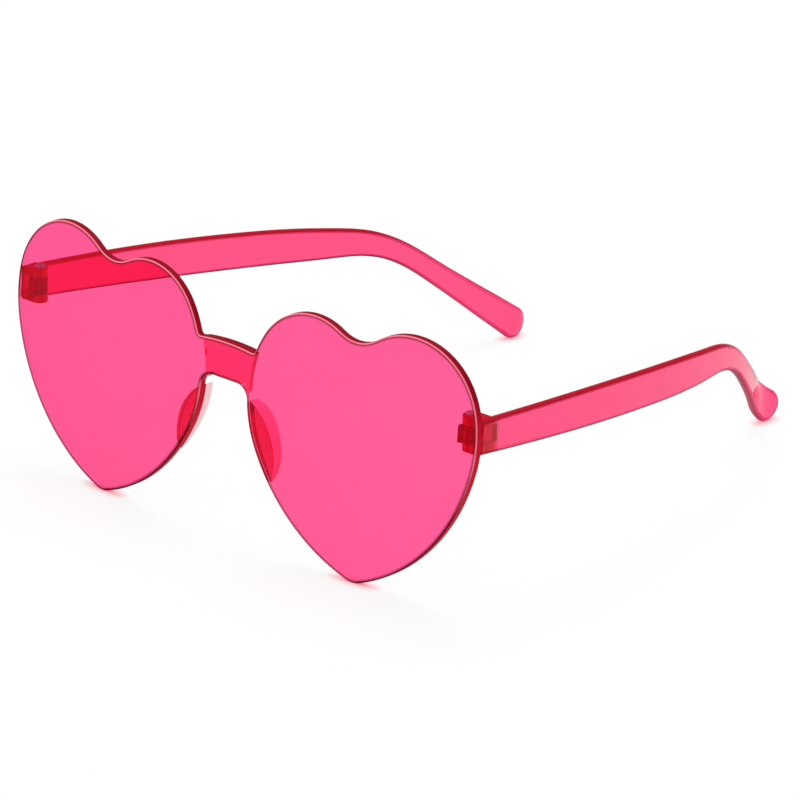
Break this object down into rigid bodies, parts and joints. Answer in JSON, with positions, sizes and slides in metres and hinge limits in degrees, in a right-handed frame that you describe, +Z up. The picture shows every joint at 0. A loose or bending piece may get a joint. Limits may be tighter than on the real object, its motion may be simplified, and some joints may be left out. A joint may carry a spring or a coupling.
{
  "type": "heart shaped sunglasses",
  "caption": "Rimless sunglasses with a one-piece front of two heart shaped lenses and a bridge, nose pads and folding temples, in clear tinted plastic.",
  "frame": {"origin": "middle of the footprint, on the surface that the open glasses stand on", "axes": "+X to the wearer's left, +Y from the lenses towards the ears, +Z up"},
  "size_m": [0.148, 0.1508, 0.0622],
  "materials": {
    "lens": "polished clear tint",
    "rib": "polished clear tint",
    "pad": "moulded clear tint",
    "hinge": "moulded clear tint",
    "temple": "moulded clear tint",
    "screw": "turned"
  },
  "bodies": {
    "front": {"front_shield": "lens", "bridge_rib": "rib", "nose_pad_left": "pad", "nose_pad_right": "pad", "hinge_lug_left": "hinge", "hinge_lug_right": "hinge"},
    "temple_left": {"temple_left": "temple", "hinge_screw_left": "screw"},
    "temple_right": {"temple_right": "temple", "hinge_screw_right": "screw"}
  },
  "joints": [
    {"name": "temple_left_fold", "type": "hinge", "parent": "front", "child": "temple_left", "pos_m": [0.0693, -0.0653, 0.0423], "axis": [0, 0, 1], "range_deg": [0, 80]},
    {"name": "temple_right_fold", "type": "hinge", "parent": "front", "child": "temple_right", "pos_m": [-0.0693, -0.0653, 0.0423], "axis": [0, 0, -1], "range_deg": [0, 74]}
  ]
}
